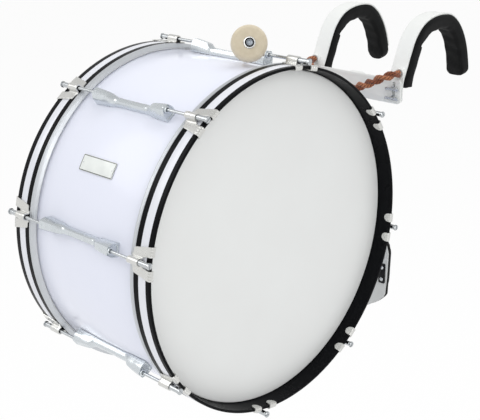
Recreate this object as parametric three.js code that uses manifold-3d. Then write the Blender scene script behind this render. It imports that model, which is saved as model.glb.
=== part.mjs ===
// Marching bass drum on a shoulder carrier, with a felt mallet laid on its top lug.
// Millimetres, +Z up, +X through the front head, +Y towards the wearer.
import * as THREE from 'three';
import { mergeVertices } from 'three/addons/utils/BufferGeometryUtils.js';
import Module from 'manifold-3d';

const wasm = await Module();
wasm.setup();

// Counts and fits
const lugCount = 8;
const roundSides = 64;
const seatGap = 0.3;
const overrun = 5;
const arcSteps = 3;
const turnClearance = 0.6;
const degree = Math.PI / 180;
const halfTurn = Math.PI;

// Shell and heads
const shellRadius = 304.8;
const shellWall = 6.5;
const shellDepth = 304.8;
const bearingEdge = 4;
const filmThickness = 0.8;
const filmShoulder = 2;
const filmBead = 2.4;
const fleshWidth = 12;
const fleshWall = 8.8;
const badgeLength = 88;
const badgeWidth = 29;
const badgeThickness = 1;
const badgeCorner = 2.5;
const badgeOffset = -5;

// Wooden hoops
const hoopWidth = 38.8;
const hoopStandOut = 10.2;
const hoopProjection = 30.4;
const hoopEdgeRound = 2.4;
const hoopOuterRadius = shellRadius + hoopStandOut;
const hoopFace = shellDepth / 2 + hoopProjection;

// Lugs: eight double-ended castings on the shell
const firstLugAngle = 36.3 * degree;
const lugPitch = 2 * halfTurn / lugCount;
const lugMargin = 58.4;
const lugLength = shellDepth - 2 * lugMargin;
const lugEndHalfWidth = 14;
const lugEndHeight = 26;
const lugWaistHalfWidth = 7.5;
const lugWaistHeight = 12;
const socketDepth = 26;
const socketSides = 16;

// Tension rods and claws
const rodRadius = 3;
const rodStandoff = 8.4;
const rodSides = 16;
const rodHeadRadius = 4.8;
const rodHeadLength = 25;
const rodFlangeRadius = 5.8;
const rodFlangeLength = 3;
const clawThickness = 2.5;
const clawInnerWidth = 42;
const clawFrontWidth = 54;
const clawNotchFront = 21;
const clawTubeRadius = 6.6;
const clawTubeLength = 22;
const clawTubeSteps = 5;
const clawFootWidth = 15;
const clawFootReach = 11.5;

// Carrier: cross plate, spine, drum bracket
const carrierDistance = 100.2;
const plateFront = shellRadius + carrierDistance;
const plateThickness = 4;
const plateBottom = 175;
const plateHeight = 50;
const plateTop = plateBottom + plateHeight;
const plateCorner = 8;
const spineWidth = 40;
const spineDepth = 12;
const bracketThickness = 10;
const bracketWidth = 34;
const bracketArmHeight = 12;
const bracketMargin = 18;
const bracketFootLength = 70;
const bracketFootWidth = 36;
const bracketFootThickness = 5;

// Shoulder hooks, their pads and the wing bolts that clamp them
const hookSpacing = 210;
const hookWidth = 36.5;
const plateEndShort = 1.5;
const plateHalfLength = (hookSpacing + hookWidth) / 2 - plateEndShort;
const hookThickness = 3;
const hookFootBottom = plateBottom + 3;
const hookSteps = 20;
const padWidth = 44.5;
const padOutward = 1.5;
const padThickness = 27;
const padJointThickness = 21;
const padLegThickness = 25;
const padFootThickness = 26.5;
const padFootBottom = hookFootBottom + 29;
const padFootEase = 0.5;
const padEdge = 5;
const boltUpper = plateBottom + 31;
const boltLower = plateBottom + 12;
const boltRadius = 3;
const boltSides = 10;
const washerRadius = 7.5;
const washerThickness = 1.5;
const wingHubRadius = 5;
const wingHubLength = 7;
const wingSpan = 34;
const wingThickness = 3.2;
const hookLowering = 2;
const hookRaising = 10;
const cordBossRadius = 11;
const cordBossDepth = 6.5;

// Belly plate and pad, clamped in the spine's slot
const bellyHalfWidth = 99;
const bellyTop = -108;
const bellyBottom = -300;
const bellyThickness = 3;
const bellyPadThickness = 15;
const bellyPadEdge = 4;
const bellyBoltZ = bellyBottom + 65;
const bellyBoltPitch = 30;
const spineBottom = bellyBottom + 4;
const bellyBoltRadius = 4;
const bellyTravel = 25;
const bellyKnobRadius = 9;
const bellyKnobLength = 6;

// Mallet
const malletHeadRadius = 32;
const malletHeadThickness = 28;
const malletHeadRound = 6;
const malletSides = 32;
const malletStudRadius = 4;
const malletWasherRadius = 9.5;
const malletWasherThickness = 1.6;
const malletNutRadius = 7;
const malletNutThickness = 3;
const malletHandleRadius = 6.5;
const malletHandleLength = shellDepth - 15;
const malletKnobRadius = 8.5;
const malletKnobLength = 14;
const malletHandleSides = 12;
const malletAcross = shellDepth * 0.289;
const malletBehind = 5;
const malletAzimuth = 42.4 * degree;
const malletClearance = 0.9;
const lugHeightUnderMallet = 14.4;

// Twisted cord hung between the hooks: its right half, from the hook to the middle.
// The second number is the distance behind the cross plate's front, the third the height over its top
const cordDiameter = 16;
const cordSides = 8;
const cordSteps = 24;
const cordHalf = [
  [112, 6.2, 11], [112, -1, 11], [110.5, -11, 10.5], [105, -21, 9], [96, -28, 5], [84, -32, -1],
  [70, -33.5, -8], [55, -34, -14.5], [37, -34.5, -21], [19, -35, -25], [0, -35, -26.5],
];

// Where the wearer's shoulders carry the whole thing, which is the part's origin
const restBehind = 133;
const restHeight = plateTop + 90.5;

// Profile of a shoulder hook's outer face, from its foot to its tip: distance back and height
const hookRise = 165;
const hookReach = 236;
const hookProfileShares = [
  [0, 0.19], [0.006, 0.26], [0.055, 0.436], [0.107, 0.618], [0.165, 0.776], [0.27, 0.921], [0.403, 0.994],
  [0.55, 1.012], [0.686, 0.982], [0.8, 0.873], [0.893, 0.703], [0.951, 0.521], [0.987, 0.339], [1, 0.245],
];

// Derived places
const facetHalf = halfTurn / roundSides;
const facetMiddle = (radius) => radius * Math.cos(facetHalf);
const shellSeat = facetMiddle(shellRadius) + seatGap;
const hoopInner = hoopFace - hoopWidth;
const filmRadius = shellRadius + seatGap + filmThickness;
const hoopInnerRadius = filmRadius + seatGap;
const headTop = shellDepth / 2 + seatGap + filmThickness;
const fleshFront = hoopInner - seatGap;
const fleshRear = fleshFront - fleshWidth;
const beadFront = fleshFront - fleshWidth / 2;
const beadRear = beadFront - filmBead;
const rodPlace = facetMiddle(hoopOuterRadius) + rodStandoff;
const socketRadius = rodRadius + turnClearance;
const clawSeat = facetMiddle(hoopOuterRadius) + seatGap;
const clawTubeEnd = hoopInner + clawTubeLength;
const plateBack = plateFront + plateThickness;
const spineFront = plateBack + seatGap;
const spineBack = spineFront + spineDepth;
const hookFront = plateBack + seatGap;
const bellyFront = spineBack + seatGap;

// The mallet's handle lies on the top lug and just clears the shell behind it
const topLugAngle = firstLugAngle + lugPitch;
const lugCrestRadius = shellSeat + lugHeightUnderMallet;
const malletReach = shellRadius + malletClearance;
const malletSlope = halfTurn - topLugAngle - Math.asin((malletReach - seatGap) / lugCrestRadius);
const malletAxisRadius = malletReach + malletHandleRadius;
const malletHeight = (malletAxisRadius - malletBehind * Math.sin(malletSlope)) / Math.cos(malletSlope);
const malletTilt = Math.atan(Math.tan(malletSlope) * Math.sin(malletAzimuth));

// Mesh helpers
function facesOut(geometry) {
  const position = geometry.getAttribute('position');
  const index = geometry.getIndex();
  const corner = [new THREE.Vector3(), new THREE.Vector3(), new THREE.Vector3()];
  const count = index ? index.count : position.count;
  let volume = 0;
  for (let i = 0; i < count; i += 3) {
    for (let k = 0; k < 3; k += 1) {
      corner[k].fromBufferAttribute(position, index ? index.getX(i + k) : i + k);
    }
    volume += corner[0].dot(corner[1].clone().cross(corner[2]));
  }
  if (volume > 0) return geometry;
  const turned = [];
  for (let i = 0; i < count; i += 3) {
    const at = (k) => (index ? index.getX(i + k) : i + k);
    turned.push(at(0), at(2), at(1));
  }
  geometry.setIndex(turned);
  return geometry;
}

function toSolid(geometry) {
  const plain = facesOut(geometry.clone());
  plain.deleteAttribute('normal');
  plain.deleteAttribute('uv');
  const merged = mergeVertices(plain, seatGap / 1000);
  const vertProperties = new Float32Array(merged.getAttribute('position').array);
  const triVerts = new Uint32Array(merged.getIndex().array);
  return new wasm.Manifold(new wasm.Mesh({ numProp: 3, vertProperties, triVerts }));
}

function fromSolid(solid) {
  const mesh = solid.getMesh();
  const geometry = new THREE.BufferGeometry();
  geometry.setAttribute('position', new THREE.BufferAttribute(new Float32Array(mesh.vertProperties), 3));
  geometry.setIndex(new THREE.BufferAttribute(new Uint32Array(mesh.triVerts), 1));
  return geometry;
}

function join(...geometries) {
  return fromSolid(geometries.map(toSolid).reduce((whole, next) => whole.add(next)));
}

function cut(geometry, ...tools) {
  return fromSolid(tools.map(toSolid).reduce((whole, tool) => whole.subtract(tool), toSolid(geometry)));
}

// A ring or disc round the drum's axis; its profile is a list of [radius, place along X]
function roundAxis(profile, sides, start) {
  const points = profile.map(([radius, along]) => new THREE.Vector2(radius, along));
  const geometry = new THREE.LatheGeometry(points, sides, start);
  geometry.rotateZ(-halfTurn / 2);
  return facesOut(geometry);
}

function drumRound(profile) {
  return roundAxis(profile, roundSides, firstLugAngle + facetHalf - halfTurn / 2);
}

function turned(profile, sides) {
  return roundAxis(profile, sides, 0);
}

function mirrored(profile) {
  return profile.map(([radius, along]) => [radius, -along]);
}

function closed(profile) {
  return [...profile, profile[0]];
}

// A flat outline pushed along an axis: its first and second coordinates lie on the two named axes
const lyingBasis = new THREE.Matrix4();
const uprightBasis = new THREE.Matrix4().makeBasis(
  new THREE.Vector3(1, 0, 0), new THREE.Vector3(0, 0, 1), new THREE.Vector3(0, -1, 0));
const sideBasis = new THREE.Matrix4().makeBasis(
  new THREE.Vector3(0, 1, 0), new THREE.Vector3(0, 0, 1), new THREE.Vector3(1, 0, 0));

function pushed(shape, basis, depth, start, options = {}) {
  const settings = { depth, bevelEnabled: false, curveSegments: arcSteps, ...options };
  const geometry = new THREE.ExtrudeGeometry(shape, settings);
  geometry.translate(0, 0, start);
  geometry.applyMatrix4(basis);
  return facesOut(geometry);
}

function roundedRectangle(left, bottom, right, top, corner) {
  const shape = new THREE.Shape();
  const quarter = halfTurn / 2;
  shape.absarc(right - corner, bottom + corner, corner, -quarter, 0);
  shape.absarc(right - corner, top - corner, corner, 0, quarter);
  shape.absarc(left + corner, top - corner, corner, quarter, halfTurn);
  shape.absarc(left + corner, bottom + corner, corner, halfTurn, halfTurn + quarter);
  shape.closePath();
  return shape;
}

function box(size, place) {
  const geometry = new THREE.BoxGeometry(size.x, size.y, size.z);
  geometry.translate(place.x, place.y, place.z);
  return geometry;
}

// A pin along Y from its front place to its back place
function pinAlongY(radius, sides, x, front, back, z) {
  const geometry = new THREE.CylinderGeometry(radius, radius, back - front, sides);
  geometry.translate(x, (front + back) / 2, z);
  return geometry;
}

// Materials, one for each piece's own mesh
const finishes = {
  lacquer: { color: 0xeceef7, roughness: 0.22, metalness: 0 },
  film: { color: 0xe6e7e3, roughness: 0.5, metalness: 0 },
  aluminium: { color: 0xb9bdc2, roughness: 0.4, metalness: 1 },
  blackWood: { color: 0x17181a, roughness: 0.3, metalness: 0 },
  chrome: { color: 0xd5d8da, roughness: 0.12, metalness: 1 },
  steel: { color: 0xc6c9c8, roughness: 0.25, metalness: 1 },
  whiteCoat: { color: 0xe9eaec, roughness: 0.35, metalness: 0.1 },
  foam: { color: 0x1b1c1e, roughness: 0.85, metalness: 0 },
  felt: { color: 0xd9c6a5, roughness: 0.95, metalness: 0 },
  maple: { color: 0xc9a878, roughness: 0.5, metalness: 0 },
  cord: { color: 0xb5683a, roughness: 0.9, metalness: 0 },
};

function piece(name, geometry, finish) {
  const mesh = new THREE.Mesh(geometry, new THREE.MeshStandardMaterial(finishes[finish]));
  mesh.name = name;
  return mesh;
}

// Shell: a tube with bearing edges cut on its inside
function shellGeometry() {
  const half = shellDepth / 2;
  const inner = shellRadius - shellWall;
  return drumRound(closed([
    [shellRadius, -half], [shellRadius, half], [shellRadius - shellWall / 2, half],
    [inner, half - bearingEdge], [inner, bearingEdge - half], [shellRadius - shellWall / 2, -half],
  ]));
}

// Head film: it bends over the bearing edge and ends in a bead held by the flesh hoop
function filmProfile() {
  const inner = filmRadius - filmThickness;
  return [
    [0, headTop], [filmRadius - filmShoulder, headTop], [filmRadius, headTop - filmShoulder],
    [filmRadius, beadFront], [filmRadius + filmBead, beadFront], [filmRadius + filmBead, beadRear],
    [inner, beadRear], [inner, headTop - filmThickness], [0, headTop - filmThickness],
  ];
}

// Flesh hoop: its inner shoulder pulls the film's bead
function fleshProfile() {
  const shoulder = beadFront + seatGap;
  const inner = hoopInnerRadius;
  const relief = filmRadius + filmBead + seatGap;
  return closed([
    [inner, shoulder], [inner, fleshFront], [inner + fleshWall, fleshFront], [inner + fleshWall, fleshRear],
    [relief, fleshRear], [relief, shoulder],
  ]);
}

function hoopProfile() {
  return closed([
    [hoopInnerRadius, hoopInner], [hoopInnerRadius, hoopFace - hoopEdgeRound],
    [hoopInnerRadius + hoopEdgeRound, hoopFace], [hoopOuterRadius - hoopEdgeRound, hoopFace],
    [hoopOuterRadius, hoopFace - hoopEdgeRound], [hoopOuterRadius, hoopInner],
  ]);
}

// Lug: low and narrow at its waist, flared at both ends round the rod sockets
const lugStationShares = [
  [-1, 1], [-0.75, 0.85], [-0.5, 0.14], [0, 0], [0.5, 0.14], [0.75, 0.85], [1, 1],
];
const lugRoofShare = 0.5;
const lugSideShare = 0.55;

function lugGeometry() {
  const rings = lugStationShares.map(([along, flare]) => {
    const halfWidth = lugWaistHalfWidth + (lugEndHalfWidth - lugWaistHalfWidth) * flare;
    const height = lugWaistHeight + (lugEndHeight - lugWaistHeight) * flare;
    const x = along * lugLength / 2;
    const roof = halfWidth * lugRoofShare;
    const side = height * lugSideShare;
    return [
      [x, -halfWidth, 0], [x, halfWidth, 0], [x, halfWidth, side],
      [x, roof, height], [x, -roof, height], [x, -halfWidth, side],
    ].map(([px, py, pz]) => new THREE.Vector3(px, py, pz + shellSeat));
  });
  const ringSize = rings[0].length;
  const vertices = rings.flat().flatMap((point) => point.toArray());
  const faces = [];
  for (let r = 0; r + 1 < rings.length; r += 1) {
    for (let k = 0; k < ringSize; k += 1) {
      const here = r * ringSize + k;
      const next = r * ringSize + (k + 1) % ringSize;
      faces.push(here, here + ringSize, next, next, here + ringSize, next + ringSize);
    }
  }
  const last = (rings.length - 1) * ringSize;
  for (let k = 1; k + 1 < ringSize; k += 1) {
    faces.push(0, k, k + 1);
    faces.push(last, last + k + 1, last + k);
  }
  const body = new THREE.BufferGeometry();
  body.setAttribute('position', new THREE.Float32BufferAttribute(vertices, 3));
  body.setIndex(faces);
  const socketBottom = lugLength / 2 - socketDepth;
  const socket = (sign) => turned([
    [0, sign * socketBottom], [socketRadius, sign * socketBottom],
    [socketRadius, sign * (lugLength / 2 + overrun)], [0, sign * (lugLength / 2 + overrun)],
  ], socketSides).translate(0, 0, rodPlace);
  return cut(body, socket(1), socket(-1));
}

// Tension rod: it turns in the claw's tube and screws into the lug's socket
function rodGeometry() {
  const inner = lugLength / 2 - socketDepth + turnClearance;
  const seat = clawTubeEnd + seatGap;
  const flange = seat + rodHeadLength - rodFlangeLength;
  return turned([
    [0, inner], [rodRadius, inner], [rodRadius, seat], [rodHeadRadius, seat], [rodHeadRadius, flange],
    [rodFlangeRadius, flange], [rodFlangeRadius, seat + rodHeadLength], [0, seat + rodHeadLength],
  ], rodSides).translate(0, 0, rodPlace);
}

// Claw: two wings on the hoop, a foot over its face from each, and a tube for the rod between them
function clawGeometry() {
  const front = hoopFace + seatGap + clawThickness;
  const shape = new THREE.Shape();
  const innerHalf = clawInnerWidth / 2;
  const frontHalf = clawFrontWidth / 2;
  const notchHalf = clawNotchFront / 2;
  shape.moveTo(hoopInner, -innerHalf);
  shape.lineTo(front, -frontHalf);
  shape.lineTo(front, -notchHalf);
  shape.lineTo(clawTubeEnd, -clawTubeRadius);
  shape.lineTo(clawTubeEnd, clawTubeRadius);
  shape.lineTo(front, notchHalf);
  shape.lineTo(front, frontHalf);
  shape.lineTo(hoopInner, innerHalf);
  shape.closePath();
  const wings = pushed(shape, lyingBasis, clawThickness, clawSeat);
  const bore = new THREE.Path();
  const ring = new THREE.Shape();
  ring.absarc(0, rodPlace, clawTubeRadius, 0, 2 * halfTurn);
  bore.absarc(0, rodPlace, socketRadius, 0, 2 * halfTurn);
  ring.holes.push(bore);
  const tube = pushed(ring, sideBasis, clawTubeLength, hoopInner, { curveSegments: clawTubeSteps });
  const parts = [wings, tube];
  for (const side of [-1, 1]) {
    const middle = side * (frontHalf - clawFootWidth / 2);
    const half = clawFootWidth / 2;
    const lowest = clawSeat + clawThickness - clawFootReach;
    const foot = new THREE.Shape();
    foot.absarc(middle, lowest + half, half, halfTurn, 2 * halfTurn);
    foot.lineTo(middle + half, clawSeat + clawThickness);
    foot.lineTo(middle - half, clawSeat + clawThickness);
    foot.closePath();
    parts.push(pushed(foot, sideBasis, clawThickness, hoopFace + seatGap));
  }
  return join(...parts);
}

// Cross plate with a clamping slot for each hook
function crossPlateGeometry() {
  const shape = roundedRectangle(-plateHalfLength, plateBottom, plateHalfLength, plateTop, plateCorner);
  const slotHalf = boltRadius + turnClearance;
  for (const side of [-1, 1]) {
    const x = side * hookSpacing / 2;
    const low = boltLower - hookLowering;
    const high = boltUpper + hookRaising;
    const slot = new THREE.Path();
    slot.absarc(x, high, slotHalf, 0, halfTurn);
    slot.absarc(x, low, slotHalf, halfTurn, 2 * halfTurn);
    slot.closePath();
    shape.holes.push(slot);
  }
  return pushed(shape, uprightBasis, plateThickness, -plateBack);
}

// Spine: an upright bar with a slot for the belly plate's bolts
function spineGeometry() {
  const shape = roundedRectangle(-spineWidth / 2, spineBottom, spineWidth / 2, plateTop, plateCorner);
  const slotHalf = bellyBoltRadius + turnClearance;
  const slot = new THREE.Path();
  const reach = bellyBoltPitch / 2 + bellyTravel;
  slot.absarc(0, bellyBoltZ + reach, slotHalf, 0, halfTurn);
  slot.absarc(0, bellyBoltZ - reach, slotHalf, halfTurn, 2 * halfTurn);
  slot.closePath();
  shape.holes.push(slot);
  return pushed(shape, uprightBasis, spineDepth, -spineBack);
}

// Drum bracket: a bar on the spine with two arms, each ending in a foot on the shell between two lugs
const bracketAngles = [firstLugAngle - lugPitch / 2, firstLugAngle - 3 * lugPitch / 2];

function bracketGeometry() {
  const footRadius = shellSeat + bracketFootThickness / 2;
  const armBack = spineFront - seatGap;
  const barFront = armBack - bracketThickness;
  const heights = bracketAngles.map((angle) => footRadius * Math.sin(angle));
  const barTop = heights[0] + bracketMargin;
  const barBottom = heights[1] - bracketMargin;
  const parts = [box(
    new THREE.Vector3(bracketWidth, bracketThickness, barTop - barBottom),
    new THREE.Vector3(0, (armBack + barFront) / 2, (barTop + barBottom) / 2))];
  bracketAngles.forEach((angle, k) => {
    const footY = footRadius * Math.cos(angle) + bracketFootThickness / 2;
    const armEnd = barFront + bracketThickness / 2;
    parts.push(box(
      new THREE.Vector3(bracketWidth, armEnd - footY, bracketArmHeight),
      new THREE.Vector3(0, (armEnd + footY) / 2, heights[k])));
    const foot = box(
      new THREE.Vector3(bracketFootLength, bracketFootWidth, bracketFootThickness),
      new THREE.Vector3(0, 0, footRadius));
    foot.rotateX(angle - halfTurn / 2);
    parts.push(foot);
  });
  return join(...parts);
}

// Shoulder hook: the outer face's curve, and lines at a depth inside it
const hookCurve = new THREE.CatmullRomCurve3(hookProfileShares.map(([back, height]) => new THREE.Vector3(
  0, hookFront + back * hookReach, hookFootBottom + height * hookRise)), false, 'centripetal');

function hookLine(fromStep, toStep, depthAt) {
  const points = [];
  for (let step = fromStep; step <= toStep; step += 1) {
    const share = step / hookSteps;
    const point = hookCurve.getPointAt(share);
    const along = hookCurve.getTangentAt(share);
    const depth = depthAt(share);
    points.push(new THREE.Vector2(point.y + along.z * depth, point.z - along.y * depth));
  }
  return points;
}

// Shoulder pad's thickness along the hook: a leg that widens to its foot, a joint, then the shoulder's foam
const padJointShare = 0.24;
const padFullShare = 0.34;

function padDepth(share) {
  if (share < padJointShare) {
    return padFootThickness + (padLegThickness - padFootThickness) * share / padJointShare;
  }
  const rise = Math.min((share - padJointShare) / (padFullShare - padJointShare), 1);
  return padJointThickness + (padThickness - padJointThickness) * rise;
}

function hookGeometry(x) {
  const outer = hookLine(0, hookSteps - 1, () => 0);
  const inner = hookLine(0, hookSteps - 1, () => hookThickness);
  const outline = [
    new THREE.Vector2(hookFront, hookFootBottom), ...outer, ...inner.reverse(),
    new THREE.Vector2(hookFront + hookThickness, hookFootBottom),
  ];
  const strip = pushed(new THREE.Shape(outline), sideBasis, hookWidth, x - hookWidth / 2);
  const parts = [strip];
  const washerBack = plateFront - seatGap;
  const hubBack = washerBack - washerThickness;
  const hubFront = hubBack - wingHubLength;
  for (const z of [boltUpper, boltLower]) {
    parts.push(pinAlongY(boltRadius, boltSides, x, hubFront, hookFront + hookThickness / 2, z));
    parts.push(pinAlongY(washerRadius, boltSides, x, hubBack, washerBack, z));
    parts.push(pinAlongY(wingHubRadius, boltSides, x, hubFront, hubBack + washerThickness / 2, z));
    parts.push(box(
      new THREE.Vector3(wingSpan, wingHubLength / 2, wingThickness),
      new THREE.Vector3(x, hubFront + wingHubLength / 2, z)));
  }
  const [cordX, , cordRise] = cordHalf[0];
  const cordZ = plateTop + cordRise;
  const bossFront = plateFront + cordBossDepth;
  const bossEnd = bossFront + 2 * cordBossRadius;
  const boss = pinAlongY(cordBossRadius, boltSides, Math.sign(x) * cordX, bossFront, bossEnd, cordZ);
  const hollow = new THREE.Shape(hookLine(0, hookSteps, () => hookThickness / 2));
  parts.push(cut(boss, pushed(hollow, sideBasis, 2 * hookWidth, x - hookWidth)));
  return join(...parts);
}

// Shoulder pad: it lines the hook's inside from behind the cross plate to past the tip, with rolled edges
function padGeometry(x) {
  const near = hookThickness + seatGap + padEdge;
  const far = (share) => hookThickness + seatGap + padDepth(share) - padEdge;
  const foot = padFootBottom + padEdge;
  const outline = [
    new THREE.Vector2(hookFront + near + padFootEase, foot), ...hookLine(1, hookSteps, () => near),
    ...hookLine(1, hookSteps, far).reverse(), new THREE.Vector2(hookFront + far(0), foot),
  ];
  const core = padWidth - 2 * padEdge;
  const middle = x + Math.sign(x) * padOutward;
  return pushed(new THREE.Shape(outline), sideBasis, core, middle - core / 2, {
    bevelEnabled: true, bevelThickness: padEdge, bevelSize: padEdge, bevelSegments: 2,
  });
}

// Belly plate: a shield with a soft top, and a pad of the same outline on its back
const bellyOutlineShares = [
  [0, 1], [0.55, 0.99], [0.8, 0.93], [0.93, 0.85], [1, 0.74], [0.985, 0.45], [0.955, 0.25], [0.915, 0.205],
  [0.78, 0.137], [0.49, 0.04], [0, 0],
];

function bellyShape(inset) {
  const height = bellyTop - bellyBottom - 2 * inset;
  const place = ([across, up]) => [across * (bellyHalfWidth - inset), bellyBottom + inset + up * height];
  const right = bellyOutlineShares.map(place).map(([x, z]) => new THREE.Vector2(x, z));
  const left = right.slice(1, -1).reverse().map((point) => new THREE.Vector2(-point.x, point.y));
  return new THREE.Shape([...right, ...left]);
}

function bellyPlateGeometry() {
  const plate = pushed(bellyShape(0), uprightBasis, bellyThickness, -bellyFront - bellyThickness);
  const parts = [plate];
  const knobBack = spineFront - seatGap;
  const knobFront = knobBack - bellyKnobLength;
  const boltEnd = bellyFront + bellyThickness / 2;
  for (const side of [-1, 1]) {
    const z = bellyBoltZ + side * bellyBoltPitch / 2;
    parts.push(pinAlongY(bellyBoltRadius, boltSides, 0, knobFront, boltEnd, z));
    parts.push(pinAlongY(bellyKnobRadius, boltSides, 0, knobFront, knobBack, z));
  }
  return join(...parts);
}

function bellyPadGeometry() {
  const core = bellyPadThickness - 2 * bellyPadEdge;
  const padBack = bellyFront + bellyThickness + seatGap + bellyPadThickness - bellyPadEdge;
  return pushed(bellyShape(bellyPadEdge), uprightBasis, core, -padBack, {
    bevelEnabled: true, bevelThickness: bellyPadEdge, bevelSize: bellyPadEdge, bevelSegments: 2,
  });
}

// Mallet: felt disc on a stud, wooden handle behind it; its own X axis runs out of the washer's face
function malletHeadGeometry() {
  const half = malletHeadThickness / 2;
  const soft = malletHeadRound;
  const bore = malletStudRadius + seatGap;
  return turned(closed([
    [bore, -half], [bore, half],
    [malletHeadRadius - 2 * soft, half], [malletHeadRadius - soft / 2, half - soft / 2],
    [malletHeadRadius, half - soft * 3 / 2], [malletHeadRadius, soft * 3 / 2 - half],
    [malletHeadRadius - soft / 2, soft / 2 - half], [malletHeadRadius - 2 * soft, -half],
  ]), malletSides);
}

function malletHandleGeometry() {
  const washer = malletHeadThickness / 2 + seatGap;
  const nut = washer + malletWasherThickness;
  const back = -washer;
  const end = back - malletHandleLength;
  return turned([
    [0, nut + malletNutThickness], [malletNutRadius, nut + malletNutThickness], [malletNutRadius, nut],
    [malletWasherRadius, nut], [malletWasherRadius, washer],
    [malletStudRadius, washer], [malletStudRadius, back],
    [malletHandleRadius, back], [malletHandleRadius, end + 2 * malletKnobLength],
    [malletKnobRadius, end + malletKnobLength], [malletKnobRadius, end + malletKnobRadius / 2],
    [malletKnobRadius / 2, end], [0, end],
  ], malletHandleSides);
}

// Cord: one tube along the route, mirrored at its middle
function cordGeometry() {
  const place = ([x, behind, rise]) => new THREE.Vector3(x, plateFront + behind, plateTop + rise);
  const right = cordHalf.map(place);
  const left = right.slice(0, -1).reverse().map((point) => new THREE.Vector3(-point.x, point.y, point.z));
  const route = new THREE.CatmullRomCurve3([...right, ...left], false, 'centripetal');
  const section = new THREE.Shape();
  for (let k = 0; k < cordSides; k += 1) {
    const angle = 2 * halfTurn * (k + 1 / 2) / cordSides;
    const x = cordDiameter / 2 * Math.cos(angle);
    const y = cordDiameter / 2 * Math.sin(angle);
    if (k === 0) section.moveTo(x, y);
    else section.lineTo(x, y);
  }
  section.closePath();
  const settings = { extrudePath: route, steps: cordSteps, bevelEnabled: false };
  return facesOut(new THREE.ExtrudeGeometry(section, settings));
}

// The drum itself
const drum = new THREE.Group();
drum.add(piece('shell', shellGeometry(), 'lacquer'));
const ends = [['front', (profile) => profile], ['rear', mirrored]];
for (const [end, place] of ends) {
  drum.add(piece(`${end}_head`, drumRound(place(filmProfile())), 'film'));
  drum.add(piece(`${end}_flesh_hoop`, drumRound(place(fleshProfile())), 'aluminium'));
  drum.add(piece(`${end}_hoop`, drumRound(place(hoopProfile())), 'blackWood'));
}

// Eight stations round the shell, each with its lug, two rods and two claws
const lug = lugGeometry();
const rod = rodGeometry();
const claw = clawGeometry();
for (let k = 0; k < lugCount; k += 1) {
  const station = new THREE.Group();
  station.rotation.x = firstLugAngle + k * lugPitch - halfTurn / 2;
  station.add(piece(`lug_${k + 1}`, lug, 'chrome'));
  for (const [end] of ends) {
    const side = new THREE.Group();
    side.rotation.z = end === 'rear' ? halfTurn : 0;
    side.add(piece(`${end}_rod_${k + 1}`, rod, 'steel'));
    side.add(piece(`${end}_claw_${k + 1}`, claw, 'chrome'));
    station.add(side);
  }
  drum.add(station);
}

// Badge plate, bare, halfway between two lugs on the side away from the wearer
const badgeStation = new THREE.Group();
badgeStation.rotation.x = firstLugAngle + 5 * lugPitch / 2 - halfTurn / 2;
const badgeOutline = roundedRectangle(
  -badgeLength / 2, -badgeWidth / 2, badgeLength / 2, badgeWidth / 2, badgeCorner);
const badge = piece('badge_plate', pushed(badgeOutline, lyingBasis, badgeThickness, shellSeat), 'aluminium');
badge.position.x = badgeOffset;
badgeStation.add(badge);
drum.add(badgeStation);

// Carrier
const carrier = new THREE.Group();
carrier.add(piece('cross_plate', crossPlateGeometry(), 'whiteCoat'));
carrier.add(piece('carrier_spine', spineGeometry(), 'whiteCoat'));
carrier.add(piece('drum_bracket', bracketGeometry(), 'whiteCoat'));
for (const [side, sign] of [['left', -1], ['right', 1]]) {
  const x = sign * hookSpacing / 2;
  carrier.add(piece(`${side}_shoulder_hook`, hookGeometry(x), 'whiteCoat'));
  carrier.add(piece(`${side}_shoulder_pad`, padGeometry(x), 'foam'));
}
carrier.add(piece('belly_plate', bellyPlateGeometry(), 'whiteCoat'));
carrier.add(piece('belly_pad', bellyPadGeometry(), 'foam'));
carrier.add(piece('twisted_cord', cordGeometry(), 'cord'));

// Mallet laid across the top lug, its handle sloping down behind
const mallet = new THREE.Group();
mallet.position.set(malletAcross, malletBehind, malletHeight);
mallet.rotation.order = 'ZYX';
mallet.rotation.z = -malletAzimuth;
mallet.rotation.y = -malletTilt;
mallet.add(piece('mallet_head', malletHeadGeometry(), 'felt'));
mallet.add(piece('mallet_handle', malletHandleGeometry(), 'maple'));

const whole = new THREE.Group();
whole.add(drum, carrier, mallet);
whole.position.set(0, -plateFront - restBehind, -restHeight);

export default whole;
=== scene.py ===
import bpy
import math
from mathutils import Matrix, Vector


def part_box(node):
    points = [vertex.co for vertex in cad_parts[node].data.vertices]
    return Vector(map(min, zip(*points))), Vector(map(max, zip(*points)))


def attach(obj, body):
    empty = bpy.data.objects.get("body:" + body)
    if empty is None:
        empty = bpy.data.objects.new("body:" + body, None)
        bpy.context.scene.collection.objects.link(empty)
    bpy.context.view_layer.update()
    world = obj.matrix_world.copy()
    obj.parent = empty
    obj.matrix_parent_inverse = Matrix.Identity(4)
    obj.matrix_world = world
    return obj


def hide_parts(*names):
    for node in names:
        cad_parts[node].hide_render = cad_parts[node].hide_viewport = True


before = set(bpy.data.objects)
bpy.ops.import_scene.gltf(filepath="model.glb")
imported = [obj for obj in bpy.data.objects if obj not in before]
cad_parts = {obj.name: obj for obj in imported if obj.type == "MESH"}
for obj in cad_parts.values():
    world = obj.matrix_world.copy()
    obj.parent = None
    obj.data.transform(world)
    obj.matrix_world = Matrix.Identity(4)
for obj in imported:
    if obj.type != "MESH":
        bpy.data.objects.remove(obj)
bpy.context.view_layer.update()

mm = 0.001
shellLow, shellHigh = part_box("shell")
drumCentre = (shellLow + shellHigh) / 2  # the drum's axis runs along X through this point
drumPlace = Matrix.Translation(drumCentre)

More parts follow.
